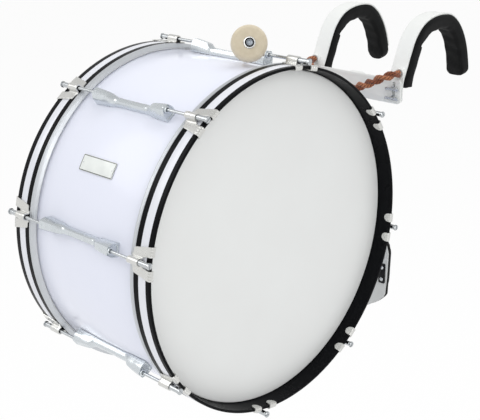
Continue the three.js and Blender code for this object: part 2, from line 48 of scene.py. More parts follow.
# camera: at the photograph's angle, from the open side of the front head
camera = {
    "place": (1.3683, -1.8432, 0.3451),
    "back": (0.6676, -0.6717, 0.3211),  # from the drum towards the camera
    "lens": 79.557,
}
bpy.ops.object.camera_add(location=camera["place"])
viewer = bpy.context.object
viewer.rotation_euler = (-Vector(camera["back"])).to_track_quat("-Z", "Y").to_euler()
viewer.data.lens = camera["lens"]
viewer.data.clip_end = 60
bpy.context.scene.camera = viewer
print("camera set")


# helpers for modelling

def setMode(mode):
    bpy.ops.object.mode_set(mode=mode)


def selectAll():
    bpy.ops.mesh.select_all(action="SELECT")


def extrude(push):
    bpy.ops.mesh.extrude_region_move(TRANSFORM_OT_translate={"value": Vector(push) * mm})


def shift(x, y, z):
    return Matrix.Translation(Vector((x, y, z)) * mm)


def clearSelection():
    if bpy.context.object and bpy.context.object.mode != "OBJECT":
        setMode("OBJECT")
    bpy.ops.object.select_all(action="DESELECT")


def pick(piece):
    clearSelection()
    piece.select_set(True)
    bpy.context.view_layer.objects.active = piece


def drawLine(name, points, filled=False):
    # one vertex, drawn on from point to point by extruding it
    clearSelection()
    bpy.ops.mesh.primitive_plane_add(size=mm)
    line = bpy.context.object
    line.name = name
    line.data.name = name
    points = [Vector(point) * mm for point in points]
    setMode("EDIT")
    bpy.ops.mesh.select_mode(type="VERT")
    bpy.ops.mesh.merge(type="CENTER")
    bpy.ops.transform.translate(value=points[0])
    for here, there in zip(points, points[1:]):
        bpy.ops.mesh.extrude_vertices_move(TRANSFORM_OT_translate={"value": there - here})
    selectAll()
    if filled:
        bpy.ops.mesh.edge_face_add()
    return line


def turnOutward():
    # every face of the piece in edit mode points outward
    selectAll()
    bpy.ops.mesh.normals_make_consistent(inside=False)
    setMode("OBJECT")


def drawBlock(name, outline, push):
    # a flat outline pushed out into a block
    block = drawLine(name, outline, filled=True)
    extrude(push)
    turnOutward()
    return block


def spinRing(name, profile, steps):
    # a profile of (radius, place on X) turned about the X axis
    ring = drawLine(name, [(x, 0, radius) for radius, x in profile])
    bpy.ops.mesh.spin(steps=steps, angle=2 * math.pi, center=(0, 0, 0), axis=(1, 0, 0))
    selectAll()
    bpy.ops.mesh.remove_doubles(threshold=0.001 * mm)
    turnOutward()
    return ring


def reshape(piece, kind, **settings):
    # one modifier, set and applied
    pick(piece)
    modifier = piece.modifiers.new(kind, kind)
    for key, value in settings.items():
        setattr(modifier, key, value)
    bpy.ops.object.modifier_apply(modifier=modifier.name)


def roundEdges(piece, width, segments=2, angle=35):
    reshape(piece, "BEVEL", width=width * mm, segments=segments, limit_method="ANGLE",
            angle_limit=math.radians(angle))


def smooth(piece, angle=40):
    pick(piece)
    bpy.ops.object.shade_smooth_by_angle(angle=math.radians(angle))


def subdivide(piece, levels):
    reshape(piece, "SUBSURF", levels=levels, render_levels=levels)


def turnPart(name, profile, steps, angle, material, matrix=Matrix.Identity(4)):
    # a turned part, smoothed, painted and put in its place
    part = spinRing(name, profile, steps)
    smooth(part, angle)
    paint(part, material)
    place(part, matrix)
    return part


def selectPart(piece, faces=None, edges=None):
    # selects faces or edges by a test of their middle, in edit mode
    setMode("OBJECT")
    mesh = piece.data
    for vertex in mesh.vertices:
        vertex.select = False
    for edge in mesh.edges:
        edge.select = False
    for face in mesh.polygons:
        face.select = bool(faces and faces(face.center / mm))
    if edges:
        for edge in mesh.edges:
            ends = [mesh.vertices[k].co / mm for k in edge.vertices]
            edge.select = bool(edges(*ends))
    setMode("EDIT")
    bpy.ops.mesh.select_mode(type="EDGE" if edges else "FACE")


def cutAt(places, axis):
    # bisects everything across an axis at each place
    normal = Vector((0, 0, 0))
    normal[axis] = 1
    for place in places:
        selectAll()
        bpy.ops.mesh.bisect(plane_co=normal * place * mm, plane_no=normal)


def joinAll(pieces, name):
    clearSelection()
    for piece in pieces:
        piece.select_set(True)
    bpy.context.view_layer.objects.active = pieces[0]
    bpy.ops.object.join()
    pieces[0].name = name
    pieces[0].data.name = name
    return pieces[0]


def twin(piece, name, place):
    copy = piece.copy()
    copy.data = piece.data.copy()
    copy.name = name
    copy.data.name = name
    copy.data.transform(place)
    bpy.context.scene.collection.objects.link(copy)
    return copy


def discard(piece):
    bpy.data.objects.remove(piece, do_unlink=True)


def place(piece, matrix):
    piece.data.transform(matrix)
    piece.data.update()


def settle(piece, body, nodes):
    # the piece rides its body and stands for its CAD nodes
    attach(piece, body)
    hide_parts(*nodes)


def paint(piece, *materials):
    piece.data.materials.clear()
    for material in materials:
        piece.data.materials.append(material)


def roundedOutline(left, right, halfWide, leftCorner, rightCorner, count=6):
    # a rectangle along X with round corners, as (x, y) points
    points = []
    for end, signX, signY, corner, start in (
            (left, -1, -1, leftCorner, 180), (right, 1, -1, rightCorner, 270),
            (right, 1, 1, rightCorner, 0), (left, -1, 1, leftCorner, 90)):
        for k in range(count + 1):
            t = math.radians(start + 90 * k / count)
            points.append((end - signX * corner + corner * math.cos(t),
                           signY * (halfWide - corner) + corner * math.sin(t)))
    return points


def smoothLine(points, count):
    # a smooth curve through the points, as evenly spaced places, and its length
    points = [Vector(point) for point in points]
    points = [2 * points[0] - points[1]] + points + [2 * points[-1] - points[-2]]
    fine, finer = [], 24
    for p, q, r, t in zip(points, points[1:], points[2:], points[3:]):
        a, b, c = ((v - u).length ** 0.5 for u, v in ((p, q), (q, r), (r, t)))
        startSlope = ((q - p) / a - (r - p) / (a + b) + (r - q) / b) * b
        endSlope = ((r - q) / b - (t - q) / (b + c) + (t - r) / c) * b
        for k in range(finer):
            u = k / finer
            fine.append(q * (2 * u ** 3 - 3 * u ** 2 + 1) + startSlope * (u ** 3 - 2 * u ** 2 + u)
                        + r * (3 * u ** 2 - 2 * u ** 3) + endSlope * (u ** 3 - u ** 2))
    fine.append(points[-2])
    reach = [0]
    for here, there in zip(fine, fine[1:]):
        reach.append(reach[-1] + (there - here).length)
    walk, k = [], 0
    for step in range(count + 1):
        goal = reach[-1] * step / count
        while k < len(reach) - 2 and reach[k + 1] < goal:
            k += 1
        share = (goal - reach[k]) / (reach[k + 1] - reach[k])
        walk.append(fine[k].lerp(fine[k + 1], share))
    return walk, reach[-1]


# helpers for materials

def colour(hexValue):
    # sRGB hex to linear
    channels = [int(hexValue[k:k + 2], 16) / 255 for k in (1, 3, 5)]
    return [c / 12.92 if c <= 0.04045 else ((c + 0.055) / 1.055) ** 2.4 for c in channels] + [1]


def addNode(tree, kind, settings=None, inputs=None):
    node = tree.nodes.new("ShaderNode" + kind)
    for key, value in (settings or {}).items():
        setattr(node, key, value)
    for key, value in (inputs or {}).items():
        if isinstance(value, bpy.types.NodeSocket):
            tree.links.new(value, node.inputs[key])
        else:
            node.inputs[key].default_value = value
    return node


def newMaterial(name, shader):
    material = bpy.data.materials.new(name)
    material.use_nodes = True
    tree = material.node_tree
    tree.nodes.clear()
    surface = addNode(tree, "BsdfPrincipled", inputs=shader)
    output = addNode(tree, "OutputMaterial", inputs={"Surface": surface.outputs["BSDF"]})
    return material, tree, surface, output


noiseSpan = (0.3, 0.7)  # nearly all of a noise lies between these


def makeFinish(name, shader, look):
    # two close colours in patches, a bump and a change of gloss, each with its size in millimetres
    material, tree, surface = newMaterial(name, shader)[:3]
    spot = addNode(tree, "TexCoord").outputs["Object"]
    patches = addNode(tree, "TexNoise", inputs={
        "Vector": spot, "Scale": 1 / (look["patch"] * mm), "Detail": 3})
    mix = addNode(tree, "Mix", {"data_type": "RGBA"}, {
        "Factor": patches.outputs["Fac"], "A": colour(look["colours"][0]), "B": colour(look["colours"][1])})
    tree.links.new(mix.outputs["Result"], surface.inputs["Base Color"])
    grit = addNode(tree, "TexNoise", inputs={
        "Vector": spot, "Scale": 1 / (look["grit"] * mm), "Detail": 2})
    bump = addNode(tree, "Bump", inputs={
        "Height": grit.outputs["Fac"], "Strength": look["relief"], "Distance": look["depth"] * mm})
    tree.links.new(bump.outputs["Normal"], surface.inputs["Normal"])
    gloss = addNode(tree, "MapRange", inputs={
        "Value": patches.outputs["Fac"], "From Min": noiseSpan[0], "From Max": noiseSpan[1],
        "To Min": look["roughness"][0], "To Max": look["roughness"][1]})
    tree.links.new(gloss.outputs["Result"], surface.inputs["Roughness"])
    return material


# sprayed gloss lacquer on a birch shell: bright and cool, with faint orange peel
lacquer = makeFinish("glossLacquer", {"IOR": 1.5, "Specular IOR Level": 0.3}, {
    "colours": ("#e9ecf8", "#e4e7f4"), "patch": 180, "grit": 5, "relief": 0.05, "depth": 0.3,
    "roughness": (0.16, 0.22)})

# coated polyester film: matt off-white, its sprayed grain drawn coarser than the real 0.1 mm so that it shows
film = makeFinish("coatedPolyester", {"IOR": 1.55}, {
    "colours": ("#e7e9e8", "#e3e4e3"), "patch": 140, "grit": 1.6, "relief": 0.12, "depth": 0.15,
    "roughness": (0.5, 0.6)})

# black lacquer on bent maple: deep gloss with the ply's grain just felt in it
blackLacquer = makeFinish("blackLacquer", {"IOR": 1.3, "Specular IOR Level": 0.15}, {
    "colours": ("#08090b", "#0e0f12"), "patch": 60, "grit": 9, "relief": 0.06, "depth": 0.3,
    "roughness": (0.24, 0.36)})

# white celluloid strip let into the hoop: smooth and a little greyer than the shell
celluloid = makeFinish("whiteCelluloid", {"IOR": 1.5}, {
    "colours": ("#e4e6ec", "#dddfe6"), "patch": 90, "grit": 8, "relief": 0.03, "depth": 0.2,
    "roughness": (0.2, 0.26)})

# rolled aluminium: satin grey, soft highlights along the ring
rolledAluminium = makeFinish("rolledAluminium", {"Metallic": 0.6}, {
    "colours": ("#ced1d5", "#c2c6ca"), "patch": 40, "grit": 2, "relief": 0.1, "depth": 0.1,
    "roughness": (0.34, 0.46)})

# chrome on die-cast zinc: bright but misted with handling, slightly wavy where the casting was polished
chrome = makeFinish("chromePlate", {"Metallic": 0.9}, {
    "colours": ("#d9dee1", "#ccd2d6"), "patch": 14, "grit": 7, "relief": 0.1, "depth": 0.5,
    "roughness": (0.2, 0.3)})

# satin chrome on pressed steel: warmer and duller than the castings, so it reads pale and even
satinChrome = makeFinish("satinChrome", {"Metallic": 0.85}, {
    "colours": ("#dcdcd9", "#d0d0cd"), "patch": 12, "grit": 3, "relief": 0.1, "depth": 0.2,
    "roughness": (0.24, 0.34)})

# bright zinc on turned steel: greyer than chrome, with fine turning marks
zincSteel = makeFinish("zincSteel", {"Metallic": 1.0}, {
    "colours": ("#c9ccce", "#b6babd"), "patch": 9, "grit": 1.2, "relief": 0.12, "depth": 0.1,
    "roughness": (0.18, 0.3)})

# blued steel: the mallet's screw, a darker grey than the plated parts
bluedSteel = makeFinish("bluedSteel", {"Metallic": 0.9}, {
    "colours": ("#8d939a", "#767c83"), "patch": 6, "grit": 1.2, "relief": 0.12, "depth": 0.1,
    "roughness": (0.3, 0.42)})

# powder coat on steel: even, with small dimples; white on the carrier, and a greyer copy on the belly plate
# whose grey is painted shade for the drum's shadow it hangs in
powderLook = {"patch": 70, "grit": 2.4, "relief": 0.12, "depth": 0.2, "roughness": (0.38, 0.46)}
powderCoat = makeFinish("whitePowderCoat", {"IOR": 1.5}, {"colours": ("#eaecea", "#e5e7e5"), **powderLook})
# the belly plate's coat: the same white powder coat darkened, as painted shade
shadedPowderCoat = makeFinish("paintedShadePowderCoat", {"IOR": 1.5}, {"colours": ("#c4c6c5", "#bec0bf"), **powderLook})

# closed-cell foam: dull black, its cells drawn at 1.5 mm so that they show
foam = makeFinish("closedCellFoam", {
    "IOR": 1.4, "Sheen Weight": 0.06, "Sheen Roughness": 0.5, "Specular IOR Level": 0.25}, {
    "colours": ("#070808", "#0d0e0f"), "patch": 22, "grit": 1.5, "relief": 0.5, "depth": 0.5,
    "roughness": (0.75, 0.9)})

# pressed wool felt: warm cream, soft edge, fibres drawn at 1 mm
felt = makeFinish("woolFelt", {"IOR": 1.45, "Sheen Weight": 0.35, "Sheen Roughness": 0.6}, {
    "colours": ("#dbd0ba", "#c9bca1"), "patch": 9, "grit": 1.1, "relief": 0.7, "depth": 0.6,
    "roughness": (0.85, 0.95)})

# lacquered maple: pale wood in faint small patches under a thin gloss
maple = makeFinish("lacqueredMaple", {"IOR": 1.5}, {
    "colours": ("#d9b988", "#c49f6b"), "patch": 5, "grit": 2, "relief": 0.08, "depth": 0.2,
    "roughness": (0.32, 0.45)})

# soft twisted cotton, orange brown: each strand its own tone, with painted shade on its faces where its yarns
# meet
cottonLook = {"patch": 5, "grit": 1.4, "relief": 0.6, "depth": 0.5, "roughness": (0.8, 0.95)}
cottonLooks = {
    "cottonLight": {**cottonLook, "colours": ("#c98a63", "#9a5636")},
    "cottonDark": {**cottonLook, "colours": ("#a35f40", "#643522")},
    # painted shade for the grooves between the yarns
    "cottonPaintedShade": {**cottonLook, "colours": ("#3a2019", "#24140f"), "roughness": (0.85, 0.95)},
}
cotton = [makeFinish(name, {"IOR": 1.45, "Sheen Weight": 0.2, "Sheen Roughness": 0.5}, look)
          for name, look in cottonLooks.items()]

# black enamel on pressed steel: small fittings and the badge's edge line
enamel = makeFinish("blackEnamel", {"IOR": 1.4, "Specular IOR Level": 0.2}, {
    "colours": ("#0b0c0e", "#131417"), "patch": 12, "grit": 2, "relief": 0.1, "depth": 0.1,
    "roughness": (0.3, 0.42)})

# satin anodised aluminium sheet: the badge's bare face
satin = makeFinish("satinAluminium", {"Metallic": 0.6}, {
    "colours": ("#cfd2cf", "#c4c8c6"), "patch": 20, "grit": 1.2, "relief": 0.08, "depth": 0.1,
    "roughness": (0.35, 0.45)})
print("materials made")


# twisted cord: two strands laid round each other along the route, from the right hook to the left one
cord = {"diameter": 16, "strand": 10.4, "apart": 8.6, "apartAtEnd": 4.8, "endBlend": 22, "pitch": 47,
        "yarns": 5, "yarnDepth": 1.5, "yarnRound": 0.6, "yarnPitch": 19, "groove": 0.42, "steps": 260,
        "sides": 30, "half": [
            (112, 411.2, 236), (112, 404, 236), (110.5, 394, 235.5), (105, 384, 234), (96, 377, 230),
            (84, 373, 224), (70, 371.5, 217), (55, 371, 210.5), (37, 370.5, 204), (19, 370, 200),
            (0, 370, 198.5)]}
cordPoints = cord["half"] + [(-x, y, z) for x, y, z in reversed(cord["half"][:-1])]
cordRoute, cordLength = smoothLine(cordPoints, cord["steps"])


def cordRing(number, step, side):
    # one ring of a strand's section: round, with a groove between each two of its yarns
    ahead = (cordRoute[min(step + 1, cord["steps"])] - cordRoute[max(step - 1, 0)]).normalized()
    side = (side - ahead * side.dot(ahead)).normalized()
    run = cordLength * step / cord["steps"]
    turn = math.pi * number + 2 * math.pi * run / cord["pitch"]
    out = side * math.cos(turn) + ahead.cross(side) * math.sin(turn)
    fromEnd = min(run, cordLength - run) / cord["endBlend"]
    apart = cord["apartAtEnd"] + (cord["apart"] - cord["apartAtEnd"]) * min(fromEnd, 1)
    middle = cordRoute[step] + out * apart / 2
    ring = []
    for k in range(cord["sides"]):
        angle = 2 * math.pi * k / cord["sides"]
        lobe = abs(math.cos(cord["yarns"] / 2 * (angle + 2 * math.pi * run / cord["yarnPitch"])))
        radius = cord["strand"] / 2 - cord["yarnDepth"] * (1 - lobe ** cord["yarnRound"])
        ring.append((middle + (out * math.cos(angle) + ahead.cross(out) * math.sin(angle)) * radius) * mm)
    return ring, side


def inGroove(row, k):
    # whether the strand's face lies between two yarns, where it takes the painted shade
    run = cordLength * (row + 0.5) / cord["steps"]
    angle = 2 * math.pi * ((k + 0.5) / cord["sides"] + run / cord["yarnPitch"])
    return abs(math.cos(cord["yarns"] / 2 * angle)) < cord["groove"]


def makeStrand(number):
    points, side, count = [], Vector((0, 0, 1)), cord["sides"]
    for step in range(cord["steps"] + 1):
        ring, side = cordRing(number, step, side)
        points += ring
    faces = [tuple(reversed(range(count))), tuple(range(cord["steps"] * count, (cord["steps"] + 1) * count))]
    for row in range(cord["steps"]):
        for k in range(count):
            here, there = row * count + k, row * count + (k + 1) % count
            faces.append((here, there, there + count, here + count))
    mesh = bpy.data.meshes.new("cordStrand")
    mesh.from_pydata(points, [], faces)
    strand = bpy.data.objects.new("cordStrand", mesh)
    bpy.context.scene.collection.objects.link(strand)
    paint(strand, cotton[number], cotton[2])
    # faces between yarns take the painted shade colour
    for face in strand.data.polygons[2:]:
        face.material_index = int(inGroove(*divmod(face.index - 2, count)))
    pick(strand)
    setMode("EDIT")
    turnOutward()
    smooth(strand, 70)
    return strand


cordPiece = joinAll([makeStrand(0), makeStrand(1)], "twistedCord")
place(cordPiece, drumPlace)
settle(cordPiece, "right_hook", ["twisted_cord"])
print(f"cord laid, {cordLength:.0f} mm long")


# shell and rings, all turned about the drum's axis

steps = 192

shell = {"radius": 304.8, "wall": 6.5, "half": 152.4, "edge": 4, "round": 0.5}
r, w, h, e = shell["radius"], shell["wall"], shell["half"], shell["edge"]
shellTube = spinRing("shellTube", [
    (r, -h), (r, h), (r - w / 2, h), (r - w, h - e), (r - w, e - h), (r - w / 2, -h), (r, -h)], steps)
roundEdges(shellTube, shell["round"])
smooth(shellTube)
paint(shellTube, lacquer)
place(shellTube, drumPlace)
settle(shellTube, "drum", ["shell"])

head = {"radius": 305.9, "top": 153.5, "film": 0.8, "bend": 2.6, "bendSteps": 5, "beadFront": 137.7,
        "bead": 2.4, "rings": 6}
r, top, thin, bend = head["radius"], head["top"], head["film"], head["bend"]
beadFront, beadBack = head["beadFront"], head["beadFront"] - head["bead"]
filmProfile = [(0, top)] + [((r - bend) * k / head["rings"], top) for k in range(1, head["rings"] + 1)]
for k in range(1, head["bendSteps"] + 1):
    angle = math.pi / 2 * k / head["bendSteps"]
    filmProfile.append((r - bend * (1 - math.sin(angle)), top - bend * (1 - math.cos(angle))))
filmProfile += [(r, beadFront), (r + head["bead"], beadFront), (r + head["bead"], beadBack),
                (r - thin, beadBack), (r - thin, top - bend), (r - bend, top - thin), (0, top - thin)]
frontFilm = spinRing("frontFilm", filmProfile, steps)
smooth(frontFilm, 30)
paint(frontFilm, film)

# flesh ring: a groove in its outer face with a ridge along it; its edge beside the shell is turned down
flesh = {"inner": 306.2, "outer": 315, "front": 143.7, "rear": 131.7, "groove": 1.1, "ridge": 3.2, "rim": 1.6,
         "slope": 2.6, "foot": 309.6, "footRound": (0.6, 0.5), "rest": 0.3, "beadRoom": 2.6, "round": 0.25}
mid = (flesh["front"] + flesh["rear"]) / 2
low, ridge = flesh["outer"] - flesh["groove"], flesh["ridge"]
inner, outer, front, rear = flesh["inner"], flesh["outer"], flesh["front"], flesh["rear"]
frontFlesh = spinRing("frontFleshRing", [
    (inner, mid + flesh["rest"]), (inner, front), (outer, front), (outer, front - flesh["rim"]),
    (low, front - flesh["slope"]), (low, mid + ridge / 2), (outer, mid + ridge / 4), (outer, mid - ridge / 4),
    (low, mid - ridge / 2), (low, rear + flesh["slope"]), (flesh["foot"], rear + flesh["footRound"][1]),
    (flesh["foot"] - flesh["footRound"][0], rear), (inner + flesh["beadRoom"], rear),
    (inner + flesh["beadRoom"], mid + flesh["rest"]), (inner, mid + flesh["rest"])], steps)
roundEdges(frontFlesh, flesh["round"])
smooth(frontFlesh)
paint(frontFlesh, rolledAluminium)

# wooden hoop: near and far are from the drum's middle; the inner wall thins towards the far edge
hoop = {"inner": 306.4, "lip": 309.9, "taper": (152, 172), "outer": 315, "near": 144, "round": 1.3,
        "chamfer": 0.8, "groove": 0.35, "inlayLift": 0.12, "inlayRound": 0.4,
        "far": {"front": 182.8, "rear": 184.4}, "inlay": {"front": (156.1, 173.6), "rear": (155.4, 172.2)}}


def makeHoop(end):
    o, i, lip, g, corner = hoop["outer"], hoop["inner"], hoop["lip"], hoop["groove"], hoop["round"]
    near, far, lift, ch = hoop["near"], hoop["far"][end], hoop["inlayLift"], hoop["chamfer"]
    a, b = hoop["inlay"][end]
    arc = [math.radians(angle) for angle in (0, 22.5, 45, 67.5, 90)]
    profile = [(o - ch, near), (o, near + ch), (o, a - g), (o - g, a - g / 2), (o, a),
               (o + lift, a + hoop["inlayRound"]), (o + lift, b - hoop["inlayRound"]), (o, b),
               (o - g, b + g / 2), (o, b + g)]
    profile += [(o - corner + corner * math.cos(t), far - corner + corner * math.sin(t)) for t in arc]
    profile += [(lip + corner - corner * math.sin(t), far - corner + corner * math.cos(t)) for t in arc]
    profile += [(lip, hoop["taper"][1]), (i, hoop["taper"][0]), (i, near + ch), (i + ch, near),
                (o - ch, near)]
    ring = spinRing(end + "HoopRing", profile, steps)
    smooth(ring, 30)
    paint(ring, blackLacquer, celluloid)
    for face in ring.data.polygons:
        x = face.center.x / mm
        if a - 0.01 < x < b + 0.01 and math.hypot(face.center.y, face.center.z) / mm > o - 1:
            face.material_index = 1
    return ring


hoops = {end: makeHoop(end) for end in ("front", "rear")}

# the other rear rings are the front ones turned round
turned = Matrix.Rotation(math.pi, 4, "Z")
for ring, name, node, slotName in (
        (frontFilm, "rearFilm", "head", "head_film"),
        (frontFlesh, "rearFleshRing", "flesh_hoop", "flesh_hoop_metal")):
    rearRing = twin(ring, name, drumPlace @ turned)
    place(ring, drumPlace)
    settle(ring, "drum", ["front_" + node])
    settle(rearRing, "drum", ["rear_" + node])
for end, matrix in (("front", drumPlace), ("rear", drumPlace @ turned)):
    place(hoops[end], matrix)
    settle(hoops[end], "drum", [end + "_hoop"])
print("shell and rings made")


# stations: eight lugs, and a claw and a rod at each end of every lug

stations = {"count": 8, "first": 36.3, "rod": 323.0}


def stationPlace(k, end="front"):
    turn = math.radians(stations["first"] + k * 360 / stations["count"] - 90)
    flip = turned if end == "rear" else Matrix.Identity(4)
    return drumPlace @ Matrix.Rotation(turn, 4, "X") @ flip


# lug: drawn as one end section, extruded along and scaled from station to station
lug = {"half": 94, "base": 305.1,
       "flares": [(0, 0), (30, 0.02), (42, 0.07), (46.5, 0.22), (51, 0.5), (58, 0.66), (70, 0.8), (84, 0.94),
                  (94, 1)],
       "endWide": 12.2, "endHigh": 24.6, "waistWide": 7.3, "waistHigh": 12.5, "roof": 0.58, "side": 0.56,
       "rim": 2.2, "recess": 1.8, "hole": 3.7, "holeDeep": 26, "boss": 6.6, "bossOut": 1.2, "bossDeep": 7,
       "endFaceFrom": 8, "roofFrom": 11.5, "creases": {"end": 0.8, "base": 0.9, "roof": 0.55}}


def lugSize(flare):
    wide = lug["waistWide"] + (lug["endWide"] - lug["waistWide"]) * flare
    high = lug["waistHigh"] + (lug["endHigh"] - lug["waistHigh"]) * flare
    return wide, high


def atLugEnd(x, inside=0):
    return abs(abs(x) - lug["half"] + inside) < 0.1


wide, high = lugSize(1)
flares = [(-x, flare) for x, flare in reversed(lug["flares"][1:])] + lug["flares"]
lugBody = drawLine("lugBody", [(-lug["half"], y, lug["base"] + up) for y, up in (
    (-wide, 0), (wide, 0), (wide, high * lug["side"]), (wide * lug["roof"], high),
    (-wide * lug["roof"], high), (-wide, high * lug["side"]))], filled=True)
for (x, flare), (nextX, nextFlare) in zip(flares, flares[1:]):
    wideBefore, highBefore = lugSize(flare)
    wideNext, highNext = lugSize(nextFlare)
    extrude((nextX - x, 0, 0))
    bpy.ops.transform.resize(value=(1, wideNext / wideBefore, highNext / highBefore),
                             center_override=(nextX * mm, 0, lug["base"] * mm))
turnOutward()
selectPart(lugBody, faces=lambda c: atLugEnd(c.x))
bpy.ops.mesh.inset(thickness=lug["rim"] * mm)
for side in (-1, 1):
    selectPart(lugBody, faces=lambda c: atLugEnd(c.x) and c.x * side > 0 and abs(c.y) < 1
               and c.z > lug["base"] + lug["endFaceFrom"])
    extrude((-side * lug["recess"], 0, 0))
for crease, edges in (
        ("end", lambda p, q: atLugEnd(p.x) and atLugEnd(q.x)
         or atLugEnd(p.x, lug["recess"]) and atLugEnd(q.x, lug["recess"])),
        ("base", lambda p, q: max(p.z, q.z) < lug["base"] + 0.01),
        ("roof", lambda p, q: abs(p.x - q.x) > 5 and min(p.z, q.z) > lug["base"] + lug["roofFrom"])):
    selectPart(lugBody, edges=edges)
    bpy.ops.transform.edge_crease(value=lug["creases"][crease])
setMode("OBJECT")
subdivide(lugBody, 2)
for side in (-1, 1):
    clearSelection()
    bpy.ops.mesh.primitive_cylinder_add(
        vertices=24, radius=lug["hole"] * mm, depth=2 * lug["holeDeep"] * mm,
        location=(side * lug["half"] * mm, 0, stations["rod"] * mm), rotation=(0, math.pi / 2, 0))
    drill = bpy.context.object
    reshape(lugBody, "BOOLEAN", operation="DIFFERENCE", object=drill)
    discard(drill)
smooth(lugBody, 32)
paint(lugBody, chrome)
toRod = shift(0, 0, stations["rod"])
bosses = []
for side in (-1, 1):
    face = side * lug["half"]
    out, deep = face + side * lug["bossOut"], face - side * lug["bossDeep"]
    bosses.append(turnPart("rodBoss", [
        (lug["hole"], deep), (lug["hole"], out), (lug["boss"] - 1, out), (lug["boss"], out - side),
        (lug["boss"], deep), (lug["hole"], deep)], 32, 50, chrome, toRod))
lugBody = joinAll([lugBody] + bosses, "lugBody")
for k in range(stations["count"]):
    piece = twin(lugBody, f"lugCasting{k + 1}", stationPlace(k))
    settle(piece, "drum", [f"lug_{k + 1}"])
discard(lugBody)
print("lugs made")


# tension rod: thin shaft, barrel head with a ring at its end and a slot for the key
rod = {"start": 69, "seat": 166.3, "shaft": 2.9, "end": 191.3, "slot": 1.6, "slotDeep": 1.6, "slotLong": 23.2,
       "head": [(3.9, 166.3), (4.7, 167.1), (4.7, 185.6), (4.0, 186.4), (4.0, 188.0), (5.8, 188.4),
                (5.8, 190.4), (4.9, 191.3)]}
rodBody = spinRing("rodBody", [(0, rod["start"]), (rod["shaft"], rod["start"]), (rod["shaft"], rod["seat"])]
                   + rod["head"] + [(0, rod["end"])], 24)
clearSelection()
bpy.ops.mesh.primitive_cube_add(size=1, location=(rod["end"] * mm, 0, 0))
cutter = bpy.context.object
cutter.scale = (2 * rod["slotDeep"] * mm, rod["slotLong"] * mm, rod["slot"] * mm)
reshape(rodBody, "BOOLEAN", operation="DIFFERENCE", object=cutter)
discard(cutter)
smooth(rodBody, 35)
paint(rodBody, zincSteel)
place(rodBody, toRod)

# claw: one sheet, drawn flat as (length, width), then folded over the hoop's edge and up round the rod
claw = {"seat": 316.4, "radius": 315, "sheet": 2.2, "tube": 5.5, "wall": 4.4, "fillet": 2.1,
        "bend": 182.0, "bendRadius": 2.3, "lip": 3.3, "start": 141.3, "tubeEnd": 166.2,
        "outline": [
            (141.3, 8.6), (142.4, 10.4), (144.2, 12), (144.6, 19), (146, 20.8), (150, 21.8), (158, 23.2),
            (166, 24.8), (174, 26.4), (180, 27.6), (186, 28.2), (192.5, 28.2), (197, 27.7), (200.8, 26.1),
            (203.4, 23.6), (204.6, 20.6), (204.4, 17.6), (202.8, 14.7), (199.8, 12.4), (196, 11.5),
            (192.5, 11.3), (186.4, 11.3), (184, 11.1), (181, 10.9), (176, 10.4), (171, 9.6), (168, 8.6),
            (166.4, 8.0), (166.2, 7.7)],
        "tubeRows": (1.7, 3.4, 5.2, 6.9), "filletRows": (1.1, 2.2),
        "columns": (145.5, 151, 157, 163, 171, 176, 178.5, 179.5, 196, 200),
        "ribs": (14.6, 19.6, 24.4), "ribRows": (-1.0, -0.5, 0.5, 1.0), "ribHalf": 0.6, "ribDeep": 0.63,
        "ribFrom": 2.6, "ribTo": 1.6}
arcPart = math.pi / 2 * claw["tube"]
wallPart = arcPart + claw["wall"]
filletPart = wallPart + math.pi / 2 * claw["fillet"]
spread = filletPart - claw["tube"] - claw["fillet"]  # the width that the raised tube takes up
halfOutline = [(claw["start"], 0)] + [(u, s + spread) for u, s in claw["outline"]] + [(claw["tubeEnd"], 0)]
outline = halfOutline + [(u, -s) for u, s in reversed(halfOutline[1:-1])]
clawBody = drawLine("clawBody", [(u, s, 0) for u, s in outline], filled=True)
across = [*claw["tubeRows"], arcPart, arcPart + claw["wall"] / 2, wallPart,
          *(wallPart + row for row in claw["filletRows"]), filletPart]
across += [rib + row + spread for rib in claw["ribs"] for row in claw["ribRows"]]
cutAt([0] + across + [-s for s in across], 1)
bendTurn = math.pi / 2 * claw["bendRadius"]
bendEnd = claw["bend"] + bendTurn
innerBend = bendEnd + claw["lip"]  # here the lip turns back along the hoop's inside
innerEnd = innerBend + bendTurn
bendCuts = [start + bendTurn * k / 4 for start in (claw["bend"], innerBend) for k in range(5)]
cutAt([*claw["columns"][:-2], *bendCuts, *claw["columns"][-2:]], 0)
setMode("OBJECT")


